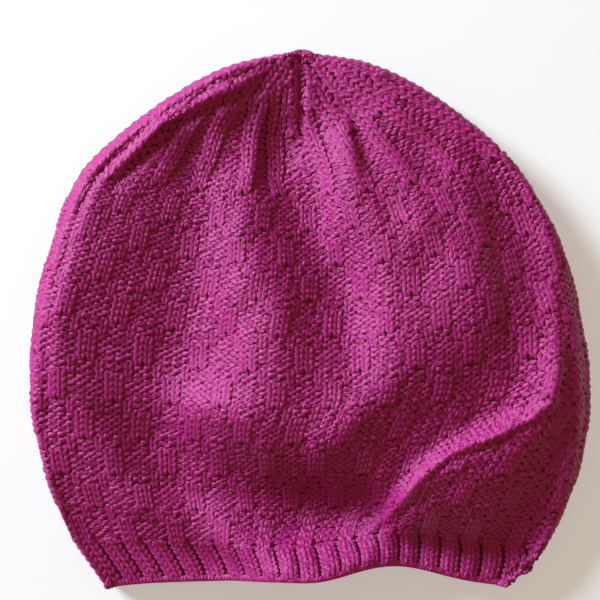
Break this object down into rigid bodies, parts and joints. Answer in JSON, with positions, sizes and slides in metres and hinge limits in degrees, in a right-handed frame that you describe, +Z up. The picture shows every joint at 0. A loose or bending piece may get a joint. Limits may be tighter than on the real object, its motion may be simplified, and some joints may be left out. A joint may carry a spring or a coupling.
{
  "type": "knitted beret",
  "caption": "Slouchy knitted beret lying flat: ribbed band with a cast-on edge, body of raised knit blocks, and a crown of ribs and wedges drawn in to a closed tip.",
  "frame": {"origin": "on the table under the middle of the flat hat", "axes": "+X across the hat to the picture's right, +Y from the band to the crown tip, +Z up from the table"},
  "size_m": [0.2636, 0.2526, 0.0352],
  "materials": {
    "wool": "matt spun wool yarn",
    "yarn_end": "matt spun wool yarn"
  },
  "bodies": {
    "root": {"cast_on_edge": "wool", "ribbed_band": "wool", "patterned_body": "wool", "crown_gore_01": "wool", "crown_gore_02": "wool", "crown_gore_03": "wool", "crown_gore_04": "wool", "crown_gore_05": "wool", "crown_gore_06": "wool", "crown_gore_07": "wool", "crown_gore_08": "wool", "crown_gore_09": "wool", "crown_gore_10": "wool", "crown_gore_11": "wool", "crown_gore_12": "wool", "crown_gore_13": "wool", "crown_gore_14": "wool", "crown_gore_15": "wool", "crown_gore_16": "wool", "crown_gore_17": "wool", "crown_gore_18": "wool", "crown_gore_19": "wool", "crown_gore_20": "wool", "crown_gore_21": "wool", "crown_gore_22": "wool", "crown_tip": "wool", "closing_yarn": "yarn_end"}
  },
  "joints": []
}
